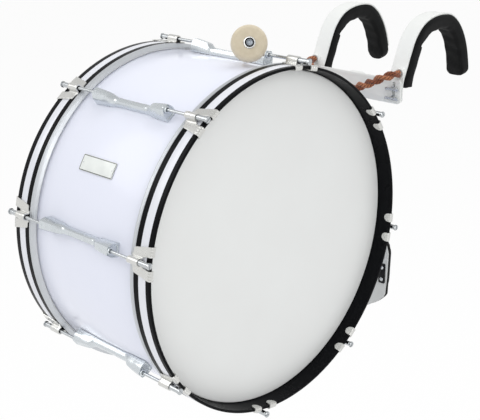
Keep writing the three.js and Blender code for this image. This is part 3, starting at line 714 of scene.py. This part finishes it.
def foldClaw(u, s):
    side = 1 if s >= 0 else -1
    s = abs(s)
    tube, fillet, bendRadius = claw["tube"], claw["fillet"], claw["bendRadius"]
    if s <= arcPart:
        y = tube * math.sin(s / tube)
        z = stations["rod"] + tube * math.cos(s / tube)
    elif s <= wallPart:
        y = tube
        z = stations["rod"] - (s - arcPart)
    elif s <= filletPart:
        t = (s - wallPart) / fillet
        y = tube + fillet * (1 - math.cos(t))
        z = stations["rod"] - claw["wall"] - fillet * math.sin(t)
    else:
        y = s - spread
        z = claw["seat"]
    foot = stations["rod"] - claw["wall"] - fillet
    if s > wallPart:  # the fillet lands on the wing, which follows the hoop
        drop = claw["radius"] - math.sqrt(claw["radius"] ** 2 - y ** 2)
        share = min((s - wallPart) / (filletPart - wallPart), 1)
        z = z + (claw["seat"] - foot if s <= filletPart else 0) * share - drop
    x = u
    if u > innerEnd:
        x = claw["bend"] - (u - innerEnd)
        z -= 2 * bendRadius + claw["lip"]
    elif u > innerBend:
        t = (u - innerBend) / bendRadius
        x = claw["bend"] + bendRadius * math.cos(t)
        z -= bendRadius * (1 + math.sin(t)) + claw["lip"]
    elif u > bendEnd:
        x = claw["bend"] + bendRadius
        z -= bendRadius + u - bendEnd
    elif u > claw["bend"]:
        t = (u - claw["bend"]) / bendRadius
        x = claw["bend"] + bendRadius * math.sin(t)
        z -= bendRadius * (1 - math.cos(t))
    onRib = min(abs(y - rib) for rib in claw["ribs"]) < claw["ribHalf"]
    if onRib and claw["bend"] - claw["ribFrom"] < u < bendEnd + claw["ribTo"]:
        x -= claw["ribDeep"]
        z -= claw["ribDeep"]
    return Vector((x, side * y, z)) * mm


for vertex in clawBody.data.vertices:
    vertex.co = foldClaw(vertex.co.x / mm, vertex.co.y / mm)
pick(clawBody)
setMode("EDIT")
turnOutward()
reshape(clawBody, "SOLIDIFY", thickness=claw["sheet"] * mm, offset=0)
roundEdges(clawBody, 0.5, 2, 50)
smooth(clawBody, 45)
paint(clawBody, satinChrome)
for k in range(stations["count"]):
    for end in ("front", "rear"):
        out = shift(hoop["far"][end] - hoop["far"]["front"], 0, 0)
        piece = twin(clawBody, f"{end}ClawHook{k + 1}", stationPlace(k, end) @ out)
        settle(piece, "drum", [f"{end}_claw_{k + 1}"])
        piece = twin(rodBody, f"{end}TensionRod{k + 1}", stationPlace(k, end))
        settle(piece, f"{end}_rod_{k + 1}", [f"{end}_rod_{k + 1}"])
discard(clawBody)
discard(rodBody)
print("claws and rods made")


# badge: a bare plate bent to the shell, with a dark line round its face and a rivet at each end
badge = {"angle": 148.8, "middle": -5, "long": 88, "wide": 29, "corner": 2.5, "seat": 304.85, "thick": 0.9,
         "margin": 0.8, "line": 1.1, "rows": (-11, -7.5, -4, 0, 4, 7.5, 11), "round": 0.25, "rivetAt": 38.5,
         "rivet": [(0, 1.2), (1.0, 1.0), (1.7, 0.5), (2.0, 0), (2.0, -0.8), (0, -0.8)]}
halfLong, halfWide = badge["long"] / 2, badge["wide"] / 2
badgePlate = drawLine("badgePlate", [(x, y, 0) for x, y in roundedOutline(
    -halfLong, halfLong, halfWide, badge["corner"], badge["corner"], 4)], filled=True)
bpy.ops.mesh.inset(thickness=badge["margin"] * mm)
bpy.ops.mesh.inset(thickness=badge["line"] * mm)
setMode("OBJECT")
paint(badgePlate, satin, enamel)
for face in badgePlate.data.polygons:
    inLong = halfLong - badge["margin"] - abs(face.center.x / mm)
    inWide = halfWide - badge["margin"] - abs(face.center.y / mm)
    face.material_index = int(0 < min(inLong, inWide) < badge["line"])
pick(badgePlate)
setMode("EDIT")
cutAt(badge["rows"], 1)
setMode("OBJECT")
face = badge["seat"] + badge["thick"]
for vertex in badgePlate.data.vertices:
    vertex.co.z = math.sqrt((face * mm) ** 2 - vertex.co.y ** 2)
reshape(badgePlate, "SOLIDIFY", thickness=badge["thick"] * mm, offset=-1)
roundEdges(badgePlate, badge["round"], 2, 60)
smooth(badgePlate, 30)
upright = Matrix.Rotation(-math.pi / 2, 4, "Y")
rivets = [turnPart("badgeRivet", badge["rivet"], 20, 50, zincSteel, shift(x, 0, face) @ upright)
          for x in (-badge["rivetAt"], badge["rivetAt"])]
badgePlate = joinAll([badgePlate] + rivets, "badgePlate")
place(badgePlate, drumPlace @ Matrix.Rotation(math.radians(badge["angle"] - 90), 4, "X")
      @ shift(badge["middle"], 0, 0))
settle(badgePlate, "drum", ["badge_plate"])
print("badge made")


# carrier's flat steel: copies of the solids with their edges rounded as pressed steel's are

def roundedCopy(node, name, width, angle=30):
    piece = twin(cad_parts[node], name, Matrix.Identity(4))
    piece.parent = None
    for key in list(piece.keys()):
        del piece[key]
    pick(piece)
    setMode("EDIT")
    selectAll()
    bpy.ops.mesh.remove_doubles(threshold=0.01 * mm)
    bpy.ops.mesh.dissolve_limited(angle_limit=math.radians(1))
    setMode("OBJECT")
    roundEdges(piece, width, 2, angle)
    smooth(piece, 40)
    return piece


for node, name, width in (("cross_plate", "crossPlate", 0.7), ("carrier_spine", "carrierSpine", 1.0),
                          ("drum_bracket", "drumBracket", 0.8)):
    piece = roundedCopy(node, name, width)
    paint(piece, powderCoat)
    settle(piece, "drum", [node])

# shoulder hook: a strip bent over the shoulder, its two wing bolts and the cord's grommet
hook = {"front": 409.3, "foot": 178, "wide": 36.5, "thick": 3, "apart": 105, "steps": 84, "end": 0.95,
        "rows": 80, "legRows": (8, 16, 24), "columns": (-15.25, -10.25, 0, 10.25, 15.25), "corner": 8,
        "footFlat": 0.6, "round": 0.8,
        "bends": [(0, 31.4), (1.4, 42.9), (13.0, 71.9), (25.3, 102.0), (38.9, 128.0), (63.7, 152.0),
                  (95.1, 164.0), (129.8, 167.0), (161.9, 162.0), (188.8, 144.0), (210.7, 116.0),
                  (224.4, 86.0), (232.9, 55.9), (236, 40.4)]}
wingBolt = {"heights": (206, 187), "seat": 404.7, "washer": 5.8, "washerThick": 1.5, "washerRound": 0.3,
            "hubLong": 7, "hub": [(0, 0), (2.4, 0), (3.4, 0.8), (4, 6), (4.4, 7)], "shank": 3, "shankIn": 1,
            "wing": [(2.5, -2.4), (8, -3.3), (12.8, -3.9), (15.8, -3), (17, -0.5), (15.8, 2.1), (12.6, 3.1),
                     (8, 2.7), (2.5, 2.4)], "wingFrom": 1.2, "wingThick": 3, "wingRound": 0.8}
grommet = {"x": 112, "z": 236, "front": 411.5, "seats": (0.045, 0.09),  # the hook cuts it off at a slant
           "profile": [(7.8, 1.2), (8.8, 0.2), (9.6, 0), (11, 1.2), (11, 16), (7.8, 16), (7.8, 1.2)]}
hookBends = [(0, hook["front"] + y, hook["foot"] + z) for y, z in hook["bends"]]
hookLine, hookLength = smoothLine(hookBends, hook["steps"])
along = Matrix.Rotation(math.pi / 2, 4, "Z")  # from X to Y


def hookOffset(share, depth):
    # a point at a depth inside the hook's outer face, which runs straight on past either end
    step = min(max(share, 0), 1) * hook["steps"]
    k = min(int(step), hook["steps"] - 1)
    aheads = [(hookLine[min(n + 1, hook["steps"])] - hookLine[max(n - 1, 0)]).normalized()
              for n in (k, k + 1)]
    ahead = Vector((0, 0, 1)) if share < 0 else aheads[0].lerp(aheads[1], step - k).normalized()
    past = share - min(max(share, 0), 1)
    point = hookLine[k].lerp(hookLine[k + 1], step - k) + ahead * past * hookLength
    return point + Vector((0, ahead.z, -ahead.y)) * depth


def makeStrip(middle, name):
    half = hook["thick"] / 2
    line = [Vector((0, hook["front"] + half, hook["foot"] + z)) for z in (0, *hook["legRows"])]
    line += [hookOffset(k / hook["rows"] * hook["end"], half) for k in range(hook["rows"] + 1)]
    strip = drawLine("hookStrip", [point + Vector((middle - hook["wide"] / 2, 0, 0)) for point in line])
    extrude((hook["wide"], 0, 0))
    cutAt([middle + x for x in hook["columns"]], 0)
    turnOutward()
    corner, tip = hook["corner"], line[-1]
    back = (line[-2] - tip).normalized()
    for vertex in strip.data.vertices:  # the strip's tip and foot have rounded corners
        point = vertex.co / mm
        inset = max(hook["wide"] / 2 - abs(point.x - middle), 0)
        if inset < corner:
            cut = corner - math.sqrt(corner ** 2 - (corner - inset) ** 2)
            if math.hypot(point.y - tip.y, point.z - tip.z) < 0.1:
                vertex.co += back * mm * cut
            if abs(point.z - hook["foot"]) < 0.1:
                vertex.co.z += mm * cut * hook["footFlat"]
    reshape(strip, "SOLIDIFY", thickness=hook["thick"] * mm, offset=0)
    roundEdges(strip, hook["round"], 3, 50)
    smooth(strip, 45)
    paint(strip, powderCoat)
    strip.name = name
    return strip


def makeWingBolt(middle, height):
    back = wingBolt["seat"] - wingBolt["washerThick"]
    front = back - wingBolt["hubLong"]
    washer, shank, inside = wingBolt["washer"], wingBolt["shank"], hook["front"] + wingBolt["shankIn"]
    ends = [turnPart("boltHub", [(radius, front + x) for radius, x in wingBolt["hub"]] + [
        (washer - wingBolt["washerRound"], back), (washer, back + wingBolt["washerRound"]),
        (washer, wingBolt["seat"]), (shank, wingBolt["seat"]), (shank, inside), (0, inside)],
        28, 35, zincSteel, along)]
    for side in (-1, 1):
        outline = [(x * side, front + wingBolt["wingFrom"], z) for x, z in wingBolt["wing"]]
        wing = drawBlock("boltWing", outline, (0, wingBolt["wingThick"], 0))
        roundEdges(wing, wingBolt["wingRound"], 2, 60)
        smooth(wing, 60)
        paint(wing, zincSteel)
        ends.append(wing)
    bolt = joinAll(ends, "wingBolt")
    place(bolt, shift(middle, 0, height))
    return bolt


def makeGrommet(side):
    collar = spinRing("cordGrommet", [(radius, grommet["front"] + x) for radius, x in grommet["profile"]], 32)
    place(collar, shift(side * grommet["x"], 0, grommet["z"]) @ along)
    seat = [hookOffset(share, hook["thick"] / 2) for share in grommet["seats"]]
    lean = (seat[1] - seat[0]).normalized()
    pick(collar)
    setMode("EDIT")
    selectAll()
    bpy.ops.mesh.bisect(plane_co=seat[0] * mm, plane_no=Vector((0, lean.z, -lean.y)),
                        clear_outer=True, use_fill=True)
    setMode("OBJECT")
    smooth(collar, 40)
    paint(collar, powderCoat)
    return collar


# foam pads: two lengths on each hook, made flat, puffed out a little and laid along the strip
pad = {"gap": 3.3, "wide": 45.6, "outward": 1.5, "foot": -2.4, "tip": {1: 12, -1: 4.5},
       "tipRound": {1: 14, -1: 20}, "footRound": 3, "jointRound": 2, "jointShare": 0.24, "fullShare": 0.34,
       "joint": 21.5, "leg": 25.5, "footThick": 27.5, "shoulder": 28, "flat": 20, "edge": 3, "voxel": 3.4,
       "overlap": 2.4, "force": 4, "puff": 1.6}
puffFrames = 20


def puffUp(piece, voxel, isHeld, force, cap):
    # remeshed evenly and blown up as cloth, with its back held; no point goes further than the cap
    reshape(piece, "REMESH", mode="VOXEL", voxel_size=voxel * mm)
    before = [vertex.co.copy() for vertex in piece.data.vertices]
    held = piece.vertex_groups.new(name="held")
    held.add([k for k, point in enumerate(before) if isHeld(point / mm)], 1, "REPLACE")
    cloth = piece.modifiers.new("cloth", "CLOTH")
    cloth.settings.use_pressure = True
    cloth.settings.uniform_pressure_force = force
    cloth.settings.vertex_group_mass = held.name
    cloth.settings.effector_weights.gravity = 0
    cloth.point_cache.frame_start = 1
    cloth.point_cache.frame_end = puffFrames
    for frameNumber in range(1, puffFrames + 1):
        bpy.context.scene.frame_set(frameNumber)
    pick(piece)
    bpy.ops.object.modifier_apply(modifier=cloth.name)
    bpy.context.scene.frame_set(1)
    for vertex, start in zip(piece.data.vertices, before):
        move = vertex.co - start
        vertex.co = start + move * min(1, cap * mm / max(move.length, 1e-9))
    piece.vertex_groups.clear()
    subdivide(piece, 1)


def padDepth(share):
    if share < pad["jointShare"]:
        return pad["footThick"] + (pad["leg"] - pad["footThick"]) * share / pad["jointShare"]
    rise = min((share - pad["jointShare"]) / (pad["fullShare"] - pad["jointShare"]), 1)
    return pad["joint"] + (pad["shoulder"] - pad["joint"]) * rise


def flatPad(name, start, end, startRound, endRound):
    outline = roundedOutline(start, end, pad["wide"] / 2 - 1, startRound, endRound)
    block = drawBlock(name, [(x, y, 0) for x, y in outline], (0, 0, pad["flat"] - 1))
    roundEdges(block, pad["edge"], 3, 50)
    puffUp(block, pad["voxel"], lambda point: point.z < 1, pad["force"], pad["puff"])
    return block


def layPad(piece, middle):
    # from the flat length to its place along the strip, with a slight unevenness as foam takes
    for vertex in piece.data.vertices:
        u, w, d = vertex.co / mm
        uneven = 0.5 * math.sin(u / 9.5 + w / 15 + middle) + 0.4 * math.sin(u / 5.3 - w / 11)
        depth = pad["gap"] + max(d, 0) / pad["flat"] * (padDepth(u / hookLength) + uneven)
        vertex.co = (hookOffset(u / hookLength, depth) + Vector((middle + w, 0, 0))) * mm


for side, word in ((1, "right"), (-1, "left")):
    middle = side * hook["apart"]
    name = word + "HookStrip"
    parts = [makeStrip(middle, name)] + [makeWingBolt(middle, height) for height in wingBolt["heights"]]
    hookPiece = joinAll(parts + [makeGrommet(side)], name)
    place(hookPiece, drumPlace)
    settle(hookPiece, word + "_hook", [word + "_shoulder_hook"])
    joint = pad["jointShare"] * hookLength
    end = hookLength + pad["tip"][side]
    lengths = [
        flatPad("legFoam", pad["foot"], joint + pad["overlap"], pad["footRound"], pad["jointRound"]),
        flatPad("shoulderFoam", joint - pad["overlap"], end, pad["jointRound"], pad["tipRound"][side])]
    for length in lengths:
        layPad(length, side * (hook["apart"] + pad["outward"]))
        paint(length, foam)
        smooth(length, 60)
    padPiece = joinAll(lengths, word + "ShoulderPad")
    place(padPiece, drumPlace)
    settle(padPiece, word + "_hook", [word + "_shoulder_pad"])
print("hooks and pads made")

# belly rest: plate with its bolts in the darker coat that paints its shade, a black fitting near each side,
# foam on its back
bellyPlate = roundedCopy("belly_plate", "bellyPlate", 0.8, 35)
paint(bellyPlate, shadedPowderCoat)
fitting = {"x": 86, "z": -205, "wide": 16, "high": 45, "corner": 3, "front": 418.4, "thick": 3.1,
           "round": 0.6, "apart": 27,
           "screw": [(0, -2.4), (2.2, -2.1), (3.8, -1.1), (4.6, 0.2), (4.6, 0.6), (0, 0.6)]}
fittings = []
halfHigh, corner = fitting["high"] / 2, fitting["corner"]
for side in (-1, 1):
    outline = [(side * fitting["x"] + x, fitting["front"], fitting["z"] + z)
               for z, x in roundedOutline(-halfHigh, halfHigh, fitting["wide"] / 2, corner, corner, 4)]
    plate = drawBlock("bellyFitting", outline, (0, fitting["thick"], 0))
    roundEdges(plate, fitting["round"], 2, 50)
    smooth(plate, 45)
    paint(plate, enamel)
    fittings.append(plate)
    for end in (-1, 1):
        at = shift(side * fitting["x"], fitting["front"], fitting["z"] + end * fitting["apart"] / 2)
        fittings.append(turnPart("fittingScrew", fitting["screw"], 24, 50, zincSteel, at @ along))
for piece in fittings:
    place(piece, drumPlace)
bellyPlate = joinAll([bellyPlate] + fittings, "bellyPlate")
settle(bellyPlate, "belly_rest", ["belly_plate"])
belly = {"half": 99.6, "top": -107.4, "bottom": -300.6, "front": 424.9, "thick": 12.6, "edge": 1.5,
         "voxel": 3.6, "force": 4, "puff": 2, "shares": [  # of half the width and of the height
             (0, 1), (0.3, 0.997), (0.55, 0.988), (0.7, 0.96), (0.8, 0.925), (0.88, 0.885), (0.94, 0.835),
             (0.98, 0.78), (1, 0.72), (0.995, 0.6), (0.985, 0.45), (0.97, 0.33), (0.957, 0.255),
             (0.945, 0.228), (0.915, 0.205), (0.86, 0.175), (0.78, 0.137), (0.65, 0.09), (0.49, 0.04),
             (0.3, 0.012), (0.15, 0.002), (0, 0)]}
rightSide = [(share * belly["half"], belly["front"], belly["bottom"] + up * (belly["top"] - belly["bottom"]))
             for share, up in belly["shares"]]
leftSide = [(-x, y, z) for x, y, z in rightSide[-2:0:-1]]
bellyPad = drawBlock("bellyPad", rightSide + leftSide, (0, belly["thick"], 0))
roundEdges(bellyPad, belly["edge"], 2, 50)
puffUp(bellyPad, belly["voxel"], lambda point: point.y < belly["front"] + 1, belly["force"], belly["puff"])
smooth(bellyPad, 60)
paint(bellyPad, foam)
place(bellyPad, drumPlace)
settle(bellyPad, "belly_rest", ["belly_pad"])
print("belly rest made")

# mallet: felt disc on a wooden handle, held by a washer with a black ring and a blued screw in it;
# the metal's profiles are (radius, height over the disc's face)
mallet = {"place": (88.09, 5, 343.7), "azimuth": 42.4, "tilt": 17.88, "radius": 32, "thick": 28, "round": 8,
          "bore": 4.3, "faceRings": (4.3, 8, 13, 18), "handle": 6.5, "handleLong": 289.8, "handleGap": 0.3,
          "waist": 0.5, "grip": 30, "stud": 4,
          "knob": [(6.6, 28), (7.6, 20), (8.5, 13), (8.5, 6), (6.9, 2.2), (4.1, 0.5), (0, 0)],
          "washer": [(0, 1.2), (7.6, 1.2), (8.2, 2.1), (9.4, 2.2), (10.4, 1.6), (10.8, 0.3), (4, 0.3)],
          "ring": [(6.2, 1.1), (8.3, 1.1), (8.3, 2.8), (7.6, 3.3), (6.2, 3.3), (6.2, 1.1)],
          "screw": [(0, 2.6), (2.4, 2.6), (2.9, 4.2), (4.6, 4.2), (6.0, 3.4), (6.1, 1.2), (0, 1.2)]}
malletPlace = (drumPlace @ shift(*mallet["place"])
               @ Matrix.Rotation(math.radians(-mallet["azimuth"]), 4, "Z")
               @ Matrix.Rotation(math.radians(-mallet["tilt"]), 4, "Y"))
half, corner = mallet["thick"] / 2, mallet["round"]
feltProfile = [(radius, half) for radius in mallet["faceRings"]]
for t in range(0, 91, 15):
    feltProfile.append((mallet["radius"] - corner + corner * math.sin(math.radians(t)),
                        half - corner + corner * math.cos(math.radians(t))))
feltProfile += [(radius, -x) for radius, x in reversed(feltProfile)] + [(mallet["bore"], half)]
feltDisc = turnPart("malletFelt", feltProfile, 72, 60, felt, malletPlace)
settle(feltDisc, "mallet", ["mallet_head"])

back = -half - mallet["handleGap"]
end = back - mallet["handleLong"]
woodProfile = [(0, back), (mallet["handle"] - 0.6, back), (mallet["handle"], back - 0.6)]
for k in range(1, 12):  # a slight waist, then the grip and its round end
    woodProfile.append((mallet["handle"] - mallet["waist"] * math.sin(math.pi * k / 12),
                        back + (end + mallet["grip"] - back) * k / 12))
woodProfile += [(radius, end + x) for radius, x in mallet["knob"]]


def overFace(profile):
    return [(radius, half + x) for radius, x in profile]


handle = joinAll([
    turnPart("malletHandle", woodProfile, 32, 50, maple),
    turnPart("malletWasher", overFace(mallet["washer"]) + [(mallet["stud"], back), (0, back)],
             48, 30, satinChrome),
    turnPart("malletRing", overFace(mallet["ring"]), 48, 40, enamel),
    turnPart("malletScrew", overFace(mallet["screw"]), 32, 40, bluedSteel)], "malletHandle")
place(handle, malletPlace)
settle(handle, "mallet", ["mallet_handle"])
print("mallet made")


# studio: pale floor far below, soft lamps, white behind everything

studio = {"floorSize": 40, "floorHeight": -1.42,  # the wearer's feet stand here
          "floorGlow": 0.9, "below": -0.3, "above": 0.8, "ambient": (0.56, 0.72),
          "mirrorFrom": 0.1, "mirrorTo": 0.75, "mirrored": (0.95, 0.66)}
clearSelection()
bpy.ops.mesh.primitive_plane_add(size=studio["floorSize"], location=(0, 0, studio["floorHeight"]))
floor = bpy.context.object
floor.name = "floor"
floorPaint, tree, surface, output = newMaterial("paleFloor", {
    "Base Color": colour("#ffffff"), "Roughness": 0.9})
path = addNode(tree, "LightPath")
seen = addNode(tree, "Math", {"operation": "MAXIMUM"}, {
    0: path.outputs["Is Camera Ray"], 1: path.outputs["Is Glossy Ray"]})
glow = addNode(tree, "Emission", inputs={"Color": (1, 1, 1, 1), "Strength": 1})
share = addNode(tree, "Math", {"operation": "MULTIPLY"}, {
    0: seen.outputs[0], 1: studio["floorGlow"]})
blend = addNode(tree, "MixShader", inputs={
    0: share.outputs[0], 1: surface.outputs["BSDF"], 2: glow.outputs["Emission"]})
tree.links.new(blend.outputs[0], output.inputs["Surface"])
paint(floor, floorPaint)

# the world: seen by the camera as white, brighter towards the horizon where the metal mirrors it
world = bpy.data.worlds.new("studio")
bpy.context.scene.world = world
world.use_nodes = True
tree = world.node_tree
tree.nodes.clear()
path = addNode(tree, "LightPath")
seen = addNode(tree, "Math", {"operation": "MAXIMUM"}, {
    0: path.outputs["Is Camera Ray"], 1: path.outputs["Is Transmission Ray"]})
direction = addNode(tree, "TexCoord").outputs["Generated"]
height = addNode(tree, "SeparateXYZ", inputs={"Vector": direction})
level = addNode(tree, "MapRange", inputs={
    "Value": height.outputs["Z"], "From Min": studio["below"], "From Max": studio["above"],
    "To Min": studio["ambient"][0], "To Max": studio["ambient"][1]})
mirrored = addNode(tree, "MapRange", inputs={
    "Value": height.outputs["Z"], "From Min": studio["mirrorFrom"], "From Max": studio["mirrorTo"],
    "To Min": studio["mirrored"][0], "To Max": studio["mirrored"][1]})
soft = addNode(tree, "Mix", {"data_type": "FLOAT"}, {
    0: path.outputs["Is Glossy Ray"], 2: level.outputs["Result"], 3: mirrored.outputs["Result"]})
strength = addNode(tree, "Mix", {"data_type": "FLOAT"}, {
    0: seen.outputs[0], 2: soft.outputs[0], 3: 1.0})
sky = addNode(tree, "Background", inputs={"Color": (1, 1, 1, 1), "Strength": strength.outputs[0]})
addNode(tree, "OutputWorld", inputs={"Surface": sky.outputs[0]})

lamps = {
    "key": {"place": (-2.6, -3.4, 2.6), "size": 2.6, "power": 50, "mirrored": True},
    "fill": {"place": (3.4, -2.2, 1.4), "size": 2.4, "power": 40, "mirrored": True},
    # its mirror image would blot out the top lug
    "top": {"place": (0.2, 0.6, 3.2), "size": 2.6, "power": 36, "mirrored": False},
}
for name, lamp in lamps.items():
    bpy.ops.object.light_add(type="AREA", location=lamp["place"])
    light = bpy.context.object
    light.name = name + "Lamp"
    light.data.size = lamp["size"]
    light.data.energy = lamp["power"]
    light.visible_glossy = lamp["mirrored"]
    light.rotation_euler = (drumCentre - Vector(lamp["place"])).to_track_quat("-Z", "Y").to_euler()
bpy.context.scene.view_settings.view_transform = "Standard"
print("studio lit")
